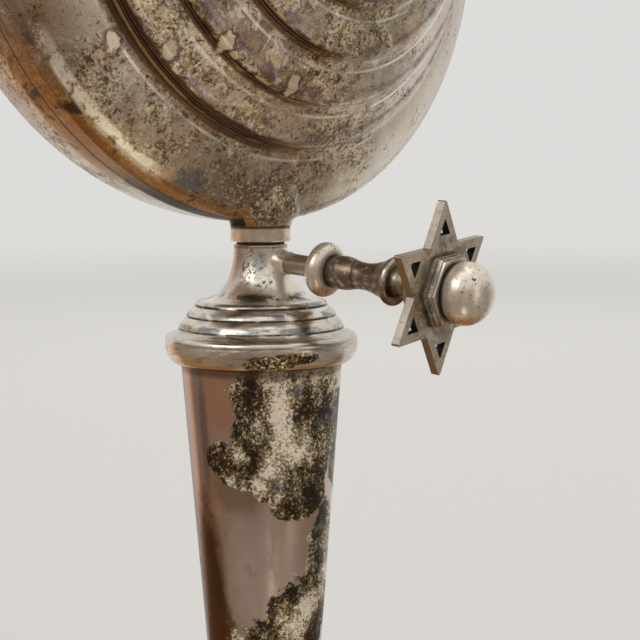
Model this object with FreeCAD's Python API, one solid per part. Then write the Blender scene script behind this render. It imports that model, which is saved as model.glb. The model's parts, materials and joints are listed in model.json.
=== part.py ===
import FreeCAD, Part
import math
import os

# A curled metal shofar on its display stand, in millimetres.
# The origin is the centre of the foot's underside, +Z runs up the stand's column,
# and -Y is the front, which the stepped face of the curl looks towards.
# An outline is a list of (radius, height) points about the axis of its own piece.
# Where a step of an outline holds two points, it is an arc: its mid point, then its end.

# ---- driving dimensions -------------------------------------------------------------------

SEAT_GAP = 0.02              # radial clearance of pieces that are soldered or pressed together
RUNNING_GAP = 0.05           # radial clearance of a shaft in its hole

FERRULE_Z = 200.0            # underside of the ferrule above the table
FERRULE_RADIUS = 6.5
STEM_RADIUS = 3.6
STEM_LENGTH = 34.0
STEM_TOP = 3.5               # the stem ends this far up inside the ferrule
SEAT_WASHER_RADIUS = 5.2
SEAT_WASHER_THICKNESS = 0.5
SADDLE_LOW = 3.4             # the saddle starts this far up the ferrule
SADDLE_HIGH = 14.0
BUSH_RADIUS = 4.9
BUSH_BASE = 11.0             # solid end of the bush that takes the tie rod
ROD_RADIUS = 2.0
ROD_HOLE = 2.2

NECK_TOP_Z = FERRULE_Z - SEAT_WASHER_THICKNESS
NECK_SPIGOT_RADIUS = 12.6
COLLAR_SEAT_Z = FERRULE_Z - 12.75
COLLAR_WEB_Z = FERRULE_Z - 14.5
COLLAR_WEB = 3.0
COLLAR_RADIUS = 21.0
COLUMN_TOP_Z = FERRULE_Z - 26.3
COLUMN_BOTTOM_Z = FERRULE_Z - 122.0
COLUMN_TOP_RADIUS = 17.7
COLUMN_BOTTOM_RADIUS = 10.4
COLUMN_WALL = 1.2
SPIGOT_LENGTH = 4.0          # the collar and the knop plug this far into the column

FOOT_RADIUS = 63.0
FOOT_TOP_Z = 60.0
FOOT_WALL_RADIAL = 1.2
FOOT_WALL_AXIAL = 1.4
PAD_THICKNESS = 1.5
PLATE_THICKNESS = 1.5
PAN_RADIUS = 15.0            # raised middle of the base plate, over the nut
PAN_RISE = 5.5
NUT_ACROSS_FLATS = 7.0
NUT_THICKNESS = 3.2

SCREW_DROP = 3.8             # screw axis below the ferrule's underside, on the column's axis
SCREW_TURN_DEG = 6.7         # screw axis turned from -Y towards +X
SCREW_DROOP_DEG = 5.7        # the screw's axis dips as it leaves the column
SHANK_RADIUS = 2.25
SHOE_START = 3.9             # places along the screw are measured from the column's axis
SHOE_END = 5.3
REAR_BOSS_START = 41.1
STAR_BACK = 45.2
STAR_THICKNESS = 1.7
STAR_FRONT = STAR_BACK + STAR_THICKNESS
STAR_TIP_RADIUS = 17.5
STAR_TALL_TIP_RADIUS = 18.0  # the top and bottom points are a little longer than the other four
STAR_ROLL_DEG = 5.5          # the star stands slightly turned about the screw
STAR_BORDER = 1.9            # width of metal round each piercing
STAR_HOLE = 2.0
HEX_STEPS = [(7.9, 1.1), (7.6, 1.0), (7.3, 0.6)]     # radius and height of each step
HEX_FRONT = STAR_FRONT + sum(height for radius, height in HEX_STEPS)
BALL_CENTRE = 52.4
BALL_RADIUS = 6.3
BALL_HALF_LENGTH = 5.2

CURL_Z = FERRULE_Z + 74.9    # centre of the curl
CURL_RADIUS = 70.6
SEAM_DEPTH = -2.4            # the two shells meet here, where the curl is widest
SHELL_WALL_RADIAL = 0.9
SHELL_WALL_AXIAL = 1.5
TUBE_RADIUS = 6.0
TUBE_WALL = 0.8
COIL_Y = 9.0                 # the air tube's coil lies this far behind the column's axis
COIL_RADIUS = 38.0
COIL_CENTRE = FreeCAD.Vector(-16.0, COIL_Y, CURL_Z - 16.0)
CENTRE_BEND_RADIUS = 11.0

BELL_BEND_RADIUS = 165.0     # the bell's axis is an arc that leaves the coil and leans outwards
BELL_BEND_DEG = 50.0
BELL_ROOT_RADIUS = 13.5
BELL_MOUTH_RADIUS = 38.0
BELL_FLARE_POWER = 2.3
BELL_WALL = 1.0
BELL_FORWARD_LEAN = 16.0     # the bell's mouth stands this far forward of its root
BELL_RIM_WIRE = 1.7
BAND_START = 0.74            # the raised band's ends, as shares of the bell's length
BAND_END = 0.80
BAND_RAISE = 0.8
THROAT_START = 0.50
THROAT_END = 0.72

PIPE_ROOT = 33.0             # the mouthpipe leaves the curl's middle this far forward
PIPE_STRAIGHT = 9.0
PIPE_BEND_RADIUS = 34.0
PIPE_ROOT_RADIUS = 17.0
PIPE_TIP_RADIUS = 5.4
PIPE_FLARE_POWER = 3.2
PIPE_BORE_ROOT = 5.2
PIPE_BORE_TIP = 3.2

UP = FreeCAD.Vector(0, 0, 1)
ORIGIN = FreeCAD.Vector(0, 0, 0)


# ---- shared shape helpers -----------------------------------------------------------------

def turned(steps):
    """Solid of revolution about Z inside a closed outline of (radius, height) steps."""
    edges = []
    here = FreeCAD.Vector(steps[0][0], 0, steps[0][1])
    for step in steps[1:] + [steps[0]]:
        is_arc = isinstance(step[0], tuple)
        radius, height = step[1] if is_arc else step
        end = FreeCAD.Vector(radius, 0, height)
        if is_arc:
            middle = FreeCAD.Vector(step[0][0], 0, step[0][1])
            edges.append(Part.Arc(here, middle, end).toShape())
        else:
            edges.append(Part.makeLine(here, end))
        here = end
    return Part.Face(Part.Wire(edges)).revolve(ORIGIN, UP, 360)


def moved(steps, radial, axial):
    """The same outline moved in radius and height."""
    result = []
    for step in steps:
        if isinstance(step[0], tuple):
            result.append(tuple((radius + radial, height + axial) for radius, height in step))
        else:
            result.append((step[0] + radial, step[1] + axial))
    return result


def filled(curve):
    """Solid between an open outer curve and the axis."""
    end_height = curve[-1][1][1] if isinstance(curve[-1][0], tuple) else curve[-1][1]
    return turned(curve + [(0, end_height), (0, curve[0][1])])


def cylinder(radius, low, high):
    return Part.makeCylinder(radius, high - low, FreeCAD.Vector(0, 0, low))


def ring(outer, inner, low, high):
    return cylinder(outer, low, high).cut(cylinder(inner, low - 1, high + 1))


def polygon_prism(corners, low, high):
    points = [FreeCAD.Vector(x, y, low) for x, y in corners]
    face = Part.Face(Part.makePolygon(points + [points[0]]))
    return face.extrude(FreeCAD.Vector(0, 0, high - low))


def corner(radius, degrees, centre=(0.0, 0.0)):
    angle = math.radians(degrees)
    return (centre[0] + radius * math.cos(angle), centre[1] + radius * math.sin(angle))


def lofted(sections):
    """Solid through circles, each given as (centre, direction, radius)."""
    wires = []
    for centre, direction, radius in sections:
        wires.append(Part.Wire(Part.makeCircle(radius, centre, direction)))
    return Part.makeLoft(wires, True, False)


def faced_forward(shape):
    """Turns a piece built along +Z to look along -Y from the curl's centre."""
    shape.rotate(ORIGIN, FreeCAD.Vector(1, 0, 0), 90)
    shape.translate(FreeCAD.Vector(0, 0, CURL_Z))
    return shape


def on_screw(shape):
    """Places a piece built along +Z, with +Y upwards, on the thumbscrew's axis."""
    turn = math.radians(SCREW_TURN_DEG)
    droop = math.radians(SCREW_DROOP_DEG)
    level = math.cos(droop)
    along = FreeCAD.Vector(math.sin(turn) * level, -math.cos(turn) * level, -math.sin(droop))
    upward = UP - along * UP.dot(along)
    upward.normalize()
    side = upward.cross(along)
    frame = FreeCAD.Matrix(
        side.x, upward.x, along.x, 0,
        side.y, upward.y, along.y, 0,
        side.z, upward.z, along.z, FERRULE_Z - SCREW_DROP,
        0, 0, 0, 1)
    shape.Placement = FreeCAD.Placement(frame)
    return shape


# ---- the foot -----------------------------------------------------------------------------

def foot_curve():
    """Outer face of the foot, from the skirt up to the seat of the knop."""
    return [
        (FOOT_RADIUS, PAD_THICKNESS),
        ((FOOT_RADIUS + 0.8, 4.4), (FOOT_RADIUS - 0.3, 7.2)),
        (FOOT_RADIUS - 2.2, 7.8),
        ((FOOT_RADIUS - 4.4, 8.7), (FOOT_RADIUS - 5.4, 10.8)),
        ((51.6, 15.4), (44.0, 17.6)),
        (43.0, 17.8),
        ((42.3, 19.4), (40.6, 20.2)),
        (39.4, 20.3),
        ((28.4, 24.4), (21.4, 33.0)),
        (20.6, 33.2),
        ((20.2, 35.0), (18.4, 35.8)),
        (17.2, 36.0),
        ((13.0, 44.0), (11.2, 55.0)),
        (11.0, FOOT_TOP_Z),
    ]


def foot_shell():
    curve = foot_curve()
    inside = filled(moved(curve, -FOOT_WALL_RADIAL, -FOOT_WALL_AXIAL))
    rod_way = cylinder(ROD_HOLE, 0, FOOT_TOP_Z + 1)
    return filled(curve).cut(inside).cut(rod_way)


def baize_pad():
    return cylinder(FOOT_RADIUS - 0.6, 0.0, PAD_THICKNESS)


def base_plate():
    low = PAD_THICKNESS
    high = low + PLATE_THICKNESS
    edge = FOOT_RADIUS - FOOT_WALL_RADIAL - SEAT_GAP
    return turned([
        (edge, low),
        (edge, high),
        (PAN_RADIUS + 1.0, high),
        (PAN_RADIUS - 2.0, high + PAN_RISE),
        (ROD_HOLE, high + PAN_RISE),
        (ROD_HOLE, low + PAN_RISE),
        (PAN_RADIUS - 3.5, low + PAN_RISE),
        (PAN_RADIUS - 0.5, low),
    ])


def foot_weight():
    plate_top = PAD_THICKNESS + PLATE_THICKNESS
    pan_top = plate_top + PAN_RISE
    return turned([
        (FOOT_RADIUS - 8.0, plate_top),
        (FOOT_RADIUS - 8.6, 8.5),
        (43.0, 14.2),
        (20.0, 20.0),
        (ROD_HOLE, 20.0),
        (ROD_HOLE, pan_top),
        (PAN_RADIUS - 2.0, pan_top),
        (PAN_RADIUS + 1.0, plate_top),
    ])


def rod_washer():
    top = PAD_THICKNESS + PAN_RISE
    return ring(4.5, ROD_HOLE, top - 0.8, top)


def rod_nut():
    top = PAD_THICKNESS + PAN_RISE - 0.8
    corners = [corner(NUT_ACROSS_FLATS / math.sqrt(3), 60 * side) for side in range(6)]
    nut = polygon_prism(corners, top - NUT_THICKNESS, top)
    return nut.cut(cylinder(ROD_RADIUS + SEAT_GAP, 0, top + 1))


def tie_rod():
    return cylinder(ROD_RADIUS, PAD_THICKNESS + 0.8, FERRULE_Z - STEM_LENGTH - 4.0)


# ---- the column ---------------------------------------------------------------------------

def column_knop():
    low = FOOT_TOP_Z
    high = COLUMN_BOTTOM_Z
    spigot = COLUMN_BOTTOM_RADIUS - COLUMN_WALL - SEAT_GAP
    return turned([
        (ROD_HOLE, low),
        (12.2, low),
        ((13.4, low + 1.0), (12.2, low + 2.0)),
        (10.4, low + 2.2),
        ((7.9, low + 3.6), (9.6, low + 5.2)),
        ((12.6, low + 8.4), (9.6, low + 11.6)),
        ((8.0, low + 13.0), (10.2, low + 14.4)),
        (11.6, low + 14.6),
        ((12.7, low + 15.6), (11.6, low + 16.6)),
        (COLUMN_BOTTOM_RADIUS + 0.4, low + 16.8),
        (COLUMN_BOTTOM_RADIUS + 0.4, high),
        (spigot, high),
        (spigot, high + SPIGOT_LENGTH),
        (ROD_HOLE, high + SPIGOT_LENGTH),
    ])


def column_tube():
    inner_top = COLUMN_TOP_RADIUS - COLUMN_WALL
    inner_bottom = COLUMN_BOTTOM_RADIUS - COLUMN_WALL
    return turned([
        (COLUMN_BOTTOM_RADIUS, COLUMN_BOTTOM_Z),
        (COLUMN_TOP_RADIUS, COLUMN_TOP_Z),
        (inner_top, COLUMN_TOP_Z),
        (inner_top, COLUMN_TOP_Z - SPIGOT_LENGTH - 1.0),
        (inner_bottom, COLUMN_BOTTOM_Z + SPIGOT_LENGTH + 1.0),
        (inner_bottom, COLUMN_BOTTOM_Z),
    ])


def shoulder_collar():
    """Three fine rounded steps, a cove and a broad rolled lip, over a plug for the column."""
    top = FERRULE_Z
    plug = COLUMN_TOP_RADIUS - COLUMN_WALL - SEAT_GAP
    inside = plug - 1.4
    bore = BUSH_RADIUS + SEAT_GAP
    seat = NECK_SPIGOT_RADIUS + SEAT_GAP
    web_low = COLLAR_WEB_Z - COLLAR_WEB
    return turned([
        (seat, COLLAR_SEAT_Z),
        (13.4, COLLAR_SEAT_Z),
        ((14.1, top - 13.0), (14.5, top - 13.6)),
        (14.3, top - 13.8),
        ((15.5, top - 14.65), (16.4, top - 15.9)),
        (16.2, top - 16.1),
        ((17.35, top - 17.2), (18.15, top - 18.6)),
        (18.0, top - 18.8),
        ((18.8, top - 19.55), (19.8, top - 19.95)),
        ((20.7, top - 20.3), (COLLAR_RADIUS, top - 21.4)),
        ((COLLAR_RADIUS + 0.1, top - 22.9), (20.6, top - 24.4)),
        ((20.0, top - 25.5), (18.6, top - 26.2)),
        (18.2, COLUMN_TOP_Z),
        (plug, COLUMN_TOP_Z),
        (plug, COLUMN_TOP_Z - SPIGOT_LENGTH),
        (inside, COLUMN_TOP_Z - SPIGOT_LENGTH),
        (inside, web_low),
        (bore, web_low),
        (bore, COLLAR_WEB_Z),
        (seat, COLLAR_WEB_Z),
    ])


def neck_outside():
    """Concave cone from the narrow mouth down to the first step of the collar."""
    top = FERRULE_Z
    return filled([
        (NECK_SPIGOT_RADIUS, COLLAR_WEB_Z),
        (NECK_SPIGOT_RADIUS, COLLAR_SEAT_Z),
        (13.2, COLLAR_SEAT_Z),
        ((8.95, top - 10.7), (6.85, top - 7.3)),
        ((6.1, top - 4.3), (5.85, top - 1.1)),
        ((5.65, top - 0.65), (5.2, NECK_TOP_Z)),
    ])


def screw_way():
    return on_screw(cylinder(SHANK_RADIUS + RUNNING_GAP, SHOE_START - 1.2, 16.0))


def neck():
    bore = cylinder(BUSH_RADIUS + SEAT_GAP, COLLAR_WEB_Z - 1, FERRULE_Z + 1)
    return neck_outside().cut(bore).cut(screw_way())


def socket_bush():
    """Socket for the stem, with a flange that draws the collar down and a base for the rod."""
    socket_low = FERRULE_Z - STEM_LENGTH - 1.0
    flange_top = COLLAR_WEB_Z - COLLAR_WEB
    body = cylinder(BUSH_RADIUS, socket_low - BUSH_BASE, NECK_TOP_Z)
    flange = cylinder(8.0, flange_top - 2.5, flange_top)
    socket = cylinder(STEM_RADIUS + RUNNING_GAP, socket_low, FERRULE_Z)
    rod_hole = cylinder(ROD_RADIUS + SEAT_GAP, socket_low - BUSH_BASE - 1, socket_low - 2.5)
    return body.fuse(flange).cut(socket).cut(rod_hole).cut(screw_way()).removeSplitter()


def screw_boss():
    """Small flare that carries the neck's face out to the screw's shank."""
    boss = on_screw(turned([
        (0, 4.0),
        (3.0, 4.0),
        (3.0, 5.5),
        ((2.65, 6.5), (2.52, 8.2)),
        (0, 8.2),
    ]))
    return boss.cut(neck_outside()).cut(screw_way())


# ---- the thumbscrew -----------------------------------------------------------------------

def clamp_shoe():
    return on_screw(cylinder(SHANK_RADIUS - 0.15, SHOE_START, SHOE_END))


def spindle():
    """Shank, ball-shaped bead, grooved barrel, flared disc and the boss behind the star."""
    return on_screw(turned([
        (0, SHOE_END + RUNNING_GAP),
        (SHANK_RADIUS, SHOE_END + RUNNING_GAP),
        (SHANK_RADIUS, 15.2),
        (2.5, 16.2),
        ((5.8, 18.0), (3.1, 19.8)),
        (3.25, 20.6),
        ((3.55, 23.2), (3.0, 25.9)),
        (2.95, 26.3),
        ((2.65, 26.6), (2.9, 26.9)),
        ((2.85, 29.0), (3.5, 31.9)),
        ((4.0, 33.4), (4.7, 34.6)),
        ((5.05, 35.4), (4.7, 36.3)),
        (3.2, 36.0),
        (3.0, 37.4),
        (3.0, REAR_BOSS_START),
        (5.6, REAR_BOSS_START),
        (6.0, REAR_BOSS_START + 0.4),
        (6.0, STAR_BACK),
        (STAR_HOLE - SEAT_GAP, STAR_BACK),
        (STAR_HOLE - SEAT_GAP, BALL_CENTRE - 1.0),
        (0, BALL_CENTRE - 1.0),
    ]))


def star_plate():
    """Six-pointed star with a three-cornered piercing in every point."""
    notch_radius = STAR_TIP_RADIUS / math.sqrt(3)
    headings = [90 + STAR_ROLL_DEG + 60 * point for point in range(6)]
    tip_radii = [STAR_TIP_RADIUS] * 6
    tip_radii[0] = STAR_TALL_TIP_RADIUS
    tip_radii[3] = STAR_TALL_TIP_RADIUS
    outline = []
    for heading, tip_radius in zip(headings, tip_radii):
        outline.append(corner(tip_radius, heading))
        outline.append(corner(notch_radius, heading + 30))
    star = polygon_prism(outline, STAR_BACK, STAR_FRONT)
    tips = []
    for edge in star.Edges:
        middle = edge.CenterOfMass
        if math.hypot(middle.x, middle.y) > STAR_TIP_RADIUS - 0.1:
            tips.append(edge)
    star = star.makeFillet(0.4, tips)
    inner_radius = STAR_TIP_RADIUS / (2 * math.sqrt(3)) / math.sqrt(3)
    piercing_radius = 2 * (inner_radius - STAR_BORDER) + 0.15
    for heading, tip_radius in zip(headings, tip_radii):
        centre = corner(tip_radius * 2 / 3, heading)
        corners = [corner(piercing_radius, heading + 120 * side, centre) for side in range(3)]
        star = star.cut(polygon_prism(corners, STAR_BACK - 1, STAR_FRONT + 1))
    return on_screw(star.cut(cylinder(STAR_HOLE, STAR_BACK - 1, STAR_FRONT + 1)))


def hex_boss():
    """Six-sided boss on the star's face, cut in fine steps."""
    layers = []
    low = STAR_FRONT
    for radius, height in HEX_STEPS:
        corners = [corner(radius, STAR_ROLL_DEG + 60 * side) for side in range(6)]
        layers.append(polygon_prism(corners, low, low + height))
        low += height
    boss = layers[0].multiFuse(layers[1:])
    return on_screw(boss.cut(cylinder(STAR_HOLE, STAR_FRONT - 1, BALL_CENTRE)))


def ball_finial():
    """Slightly flattened ball, its outline a run of arcs through the points of an oval."""
    def oval(degrees):
        angle = math.radians(degrees)
        return (BALL_RADIUS * math.cos(angle), BALL_CENTRE + BALL_HALF_LENGTH * math.sin(angle))

    seat_angle = -math.degrees(math.asin((BALL_CENTRE - HEX_FRONT) / BALL_HALF_LENGTH))
    stops = [seat_angle, -15, 15, 40, 62, 84]
    steps = [(STAR_HOLE, HEX_FRONT), oval(seat_angle)]
    for start, end in zip(stops, stops[1:]):
        steps.append((oval((start + end) / 2), oval(end)))
    steps.append((0, BALL_CENTRE + BALL_HALF_LENGTH))
    steps.append((0, BALL_CENTRE - 1.0))
    steps.append((STAR_HOLE, BALL_CENTRE - 1.0))
    return on_screw(turned(steps))


# ---- the horn's plug ----------------------------------------------------------------------

def seat_washer():
    return ring(SEAT_WASHER_RADIUS, STEM_RADIUS + RUNNING_GAP, NECK_TOP_Z, FERRULE_Z)


def stem():
    return cylinder(STEM_RADIUS, FERRULE_Z - STEM_LENGTH, FERRULE_Z + STEM_TOP)


def ferrule():
    body = turned([
        (0, FERRULE_Z),
        (FERRULE_RADIUS - 0.25, FERRULE_Z),
        (FERRULE_RADIUS, FERRULE_Z + 0.25),
        (FERRULE_RADIUS, FERRULE_Z + 10.0),
        (0, FERRULE_Z + 10.0),
    ])
    socket = cylinder(STEM_RADIUS + SEAT_GAP, FERRULE_Z - 1, FERRULE_Z + STEM_TOP)
    return body.cut(socket).cut(curl_volume())


def saddle():
    """Web that flares from the ferrule's sides out on to the curl's edge."""
    web = turned([
        (FERRULE_RADIUS + SEAT_GAP, FERRULE_Z + SADDLE_LOW),
        (FERRULE_RADIUS + 0.25, FERRULE_Z + SADDLE_LOW),
        ((7.0, FERRULE_Z + 4.4), (8.0, FERRULE_Z + 5.2)),
        ((8.65, FERRULE_Z + 6.5), (8.75, FERRULE_Z + 8.6)),
        (8.5, FERRULE_Z + SADDLE_HIGH),
        (FERRULE_RADIUS + SEAT_GAP, FERRULE_Z + SADDLE_HIGH),
    ])
    return web.cut(curl_volume())


# ---- the curl -----------------------------------------------------------------------------

def front_curve():
    """Rounded edge, smooth outer band, four rounded steps and the root of the mouthpipe."""
    return [
        (CURL_RADIUS, SEAM_DEPTH),
        (CURL_RADIUS - 0.1, 1.0),
        ((70.0, 3.0), (68.5, 4.3)),
        ((63.2, 8.0), (57.4, 10.1)),
        ((56.1, 10.9), (55.2, 12.6)),
        ((54.3, 14.2), (52.6, 15.0)),
        ((50.8, 16.2), (48.6, 17.9)),
        ((47.4, 18.9), (46.7, 20.4)),
        ((45.8, 21.8), (44.3, 22.5)),
        ((42.2, 23.6), (39.8, 24.6)),
        ((38.7, 25.3), (37.9, 26.6)),
        ((36.9, 27.8), (35.3, 28.3)),
        ((32.9, 29.0), (30.2, 29.6)),
        ((29.0, 30.1), (28.2, 31.1)),
        ((27.2, 32.1), (25.6, 32.5)),
        ((22.6, 33.1), (19.4, 33.6)),
        ((14.0, 34.3), (8.0, 34.6)),
    ]


def back_curve():
    """Deep rounded edge and a shallow back with two low steps."""
    return [
        (CURL_RADIUS, SEAM_DEPTH),
        ((70.1, -10.8), (67.8, -18.9)),
        ((65.0, -22.9), (60.0, -25.0)),
        ((55.0, -26.2), (50.0, -26.6)),
        ((48.4, -27.3), (46.8, -28.6)),
        ((40.0, -30.2), (32.0, -31.0)),
        ((30.4, -31.6), (28.8, -32.8)),
        ((20.0, -34.2), (8.0, -34.8)),
    ]


def front_volume():
    return faced_forward(filled(front_curve()))


def back_volume():
    return faced_forward(filled(back_curve()))


def curl_volume():
    return front_volume().fuse(back_volume())


def front_shell():
    inside = filled(moved(front_curve(), -SHELL_WALL_RADIAL, -SHELL_WALL_AXIAL))
    pipe_way = cylinder(TUBE_RADIUS + SEAT_GAP, 0, 60)
    shell = front_volume().cut(faced_forward(inside)).cut(faced_forward(pipe_way))
    return shell.cut(tube_way())


def back_shell():
    inside = filled(moved(back_curve(), -SHELL_WALL_RADIAL, SHELL_WALL_AXIAL))
    return back_volume().cut(faced_forward(inside)).cut(tube_way())


def seam_ring():
    """Lap strip that joins the two shells inside the edge."""
    outer = CURL_RADIUS - SHELL_WALL_RADIAL - 0.15
    return faced_forward(ring(outer, outer - 0.9, SEAM_DEPTH - 3.0, SEAM_DEPTH + 1.2)).cut(tube_way())


def tube_way():
    """Hole through the edge of the curl for the air tube."""
    return bell_tube(SEAT_GAP, 0.0, THROAT_START)


# ---- the air way --------------------------------------------------------------------------

def bell_axis(share):
    """Point and direction of the bell's axis at a share of its length."""
    start = COIL_CENTRE + FreeCAD.Vector(-COIL_RADIUS, 0, 0)
    angle = math.radians(BELL_BEND_DEG) * share
    lean = -BELL_FORWARD_LEAN * share * share
    point = start + FreeCAD.Vector(
        -BELL_BEND_RADIUS * (1 - math.cos(angle)), lean, BELL_BEND_RADIUS * math.sin(angle))
    length = BELL_BEND_RADIUS * math.radians(BELL_BEND_DEG)
    slope = -2 * BELL_FORWARD_LEAN * share / length
    direction = FreeCAD.Vector(-math.sin(angle), slope, math.cos(angle))
    return point, direction


def bell_radius(share):
    spread = BELL_MOUTH_RADIUS - BELL_ROOT_RADIUS
    return BELL_ROOT_RADIUS + spread * max(share, 0.0) ** BELL_FLARE_POWER


def bell_solid(offset, low, high, count):
    """Flaring solid along the bell's axis, larger than the bell's face by the offset."""
    sections = []
    for index in range(count):
        share = low + (high - low) * index / (count - 1)
        point, direction = bell_axis(share)
        sections.append((point, direction, bell_radius(share) + offset))
    return lofted(sections)


def bell_tube(offset, low, high):
    """Plain round run of the air tube along the bell's axis."""
    sections = []
    for index in range(5):
        point, direction = bell_axis(low + (high - low) * index / 4)
        sections.append((point, direction, TUBE_RADIUS + offset))
    return lofted(sections)


def bell_flare():
    outside = bell_solid(0.0, 0.0, 1.0, 9)
    inside = bell_solid(-BELL_WALL, -0.05, 1.0, 9)
    return outside.cut(inside).cut(curl_volume())


def bell_rim():
    """Rolled wire round the bell's mouth."""
    point, direction = bell_axis(1.0)
    wire = Part.makeTorus(BELL_MOUTH_RADIUS, BELL_RIM_WIRE, point, direction)
    return wire.cut(bell_solid(0.0, 0.9, 1.0, 4).cut(bell_solid(-BELL_WALL, 0.9, 1.0, 4)))


def bell_band():
    """Raised band that dresses the bell below its mouth."""
    outside = bell_solid(BAND_RAISE, BAND_START, BAND_END, 3)
    return outside.cut(bell_solid(SEAT_GAP, BAND_START - 0.02, BAND_END + 0.02, 5))


def bell_throat():
    """Funnel that opens the air tube out to the inside of the bell."""
    sections = []
    bores = []
    start_radius = TUBE_RADIUS
    end_radius = bell_radius(THROAT_END) - BELL_WALL - 0.15
    for index in range(5):
        part_way = index / 4
        share = THROAT_START + (THROAT_END - THROAT_START) * part_way
        point, direction = bell_axis(share)
        radius = start_radius + (end_radius - start_radius) * part_way
        sections.append((point, direction, radius))
        bores.append((point, direction, radius - TUBE_WALL))
    return lofted(sections).cut(lofted(bores))


def bend(radius, centre, axis, start, degrees):
    """Stretch of round bar bent about an axis, from a start point on its middle line."""
    reach = start - centre
    travel = axis.cross(reach)
    disc = Part.Face(Part.Wire(Part.makeCircle(radius, start, travel)))
    return disc.revolve(centre, axis, degrees)


def air_tube_bar(radius):
    """Middle of the curl, round the coil and on into the bell's root."""
    forward = PIPE_ROOT - 1.0
    across = FreeCAD.Vector(1, 0, 0)
    back = FreeCAD.Vector(0, 1, 0)
    drop_radius = COIL_CENTRE.x + COIL_RADIUS - CENTRE_BEND_RADIUS
    first_end = FreeCAD.Vector(0, COIL_Y - CENTRE_BEND_RADIUS, CURL_Z)
    inlet_length = forward + first_end.y
    inlet = Part.makeCylinder(radius, inlet_length, FreeCAD.Vector(0, -forward, CURL_Z), back)
    first_centre = first_end + across * CENTRE_BEND_RADIUS
    first = bend(radius, first_centre, FreeCAD.Vector(0, 0, -1), first_end, 90)
    second_start = FreeCAD.Vector(CENTRE_BEND_RADIUS, COIL_Y, CURL_Z)
    second_centre = second_start - UP * drop_radius
    second = bend(radius, second_centre, back, second_start, 90)
    coil_start = COIL_CENTRE + across * COIL_RADIUS
    fall = Part.makeCylinder(radius, second_centre.z - COIL_CENTRE.z, coil_start, UP)
    coil = bend(radius, COIL_CENTRE, back, coil_start, 180)
    return [inlet, first, second, fall, coil]


def sound_tube():
    outer = air_tube_bar(TUBE_RADIUS)
    inner = air_tube_bar(TUBE_RADIUS - TUBE_WALL)
    outer.append(bell_tube(0.0, 0.0, THROAT_START))
    inner.append(bell_tube(-TUBE_WALL, 0.0, THROAT_START))
    body = outer[0].multiFuse(outer[1:])
    bore = inner[0].multiFuse(inner[1:])
    return body.cut(bore)


# ---- the mouthpipe and mouthpiece ---------------------------------------------------------

def pipe_sections(root_radius, tip_radius, power):
    """Circles along a line forward out of the curl that bends up to vertical."""
    length = PIPE_STRAIGHT + PIPE_BEND_RADIUS * math.pi / 2
    sections = []
    count = 12
    for index in range(count + 1):
        share = index / count
        run = length * share
        angle = max(run - PIPE_STRAIGHT, 0.0) / PIPE_BEND_RADIUS
        reach = PIPE_ROOT + min(run, PIPE_STRAIGHT) + PIPE_BEND_RADIUS * math.sin(angle)
        rise = PIPE_BEND_RADIUS * (1 - math.cos(angle))
        point = FreeCAD.Vector(0, -reach, CURL_Z + rise)
        direction = FreeCAD.Vector(0, -math.cos(angle), math.sin(angle))
        radius = tip_radius + (root_radius - tip_radius) * (1 - share) ** power
        sections.append((point, direction, radius))
    return sections


def mouthpipe():
    outside = lofted(pipe_sections(PIPE_ROOT_RADIUS, PIPE_TIP_RADIUS, PIPE_FLARE_POWER))
    bore = lofted(pipe_sections(PIPE_BORE_ROOT, PIPE_BORE_TIP, 1.0))
    return outside.cut(bore).cut(curl_volume())


def mouthpiece():
    """Turned cup with a beaded root and a rounded rim, soldered on the mouthpipe's tip."""
    piece = turned([
        (PIPE_BORE_TIP, 0.0),
        (PIPE_TIP_RADIUS, 0.0),
        (7.0, 0.4),
        ((7.7, 1.5), (7.0, 2.6)),
        (5.9, 2.9),
        ((6.1, 6.0), (7.6, 9.4)),
        ((9.6, 13.0), (10.6, 17.6)),
        ((12.3, 18.6), (12.6, 20.4)),
        ((11.6, 22.0), (9.6, 21.2)),
        ((8.7, 16.6), (6.2, 12.4)),
        ((3.4, 9.9), (2.1, 7.4)),
    ])
    tip_y = -(PIPE_ROOT + PIPE_STRAIGHT + PIPE_BEND_RADIUS)
    piece.translate(FreeCAD.Vector(0, tip_y, CURL_Z + PIPE_BEND_RADIUS))
    return piece


# ---- writing the pieces -------------------------------------------------------------------

PIECES = [
    baize_pad, base_plate, foot_weight, foot_shell, rod_washer, rod_nut, tie_rod,
    column_knop, column_tube, shoulder_collar, neck, socket_bush, screw_boss,
    clamp_shoe, spindle, star_plate, hex_boss, ball_finial,
    seat_washer, stem, ferrule, saddle, front_shell, back_shell, seam_ring, sound_tube,
    bell_throat, bell_flare, bell_rim, bell_band, mouthpipe, mouthpiece,
]


def write_pieces():
    os.makedirs("parts", exist_ok=True)
    for piece in PIECES:
        shape = piece()
        box = shape.optimalBoundingBox()
        print(piece.__name__, len(shape.Solids), "solid", shape.isValid(), round(shape.Volume),
              [round(value, 1) for value in (box.XMin, box.XMax, box.YMin, box.YMax, box.ZMin, box.ZMax)])
        shape.exportStep("parts/" + piece.__name__ + ".step")


write_pieces()
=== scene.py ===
import json
import math

import bpy
from mathutils import Matrix, Vector


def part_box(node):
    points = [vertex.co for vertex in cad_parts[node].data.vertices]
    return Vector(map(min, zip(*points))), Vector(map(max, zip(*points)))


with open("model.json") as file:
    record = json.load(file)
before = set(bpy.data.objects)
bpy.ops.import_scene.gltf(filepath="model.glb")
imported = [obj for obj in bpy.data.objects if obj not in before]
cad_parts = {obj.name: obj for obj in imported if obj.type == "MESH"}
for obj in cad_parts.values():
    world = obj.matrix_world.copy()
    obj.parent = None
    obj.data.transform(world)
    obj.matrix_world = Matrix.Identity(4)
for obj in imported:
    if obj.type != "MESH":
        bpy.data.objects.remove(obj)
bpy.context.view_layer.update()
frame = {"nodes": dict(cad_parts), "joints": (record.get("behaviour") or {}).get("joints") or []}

NODES = frame["nodes"]
MM = 0.001

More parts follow.
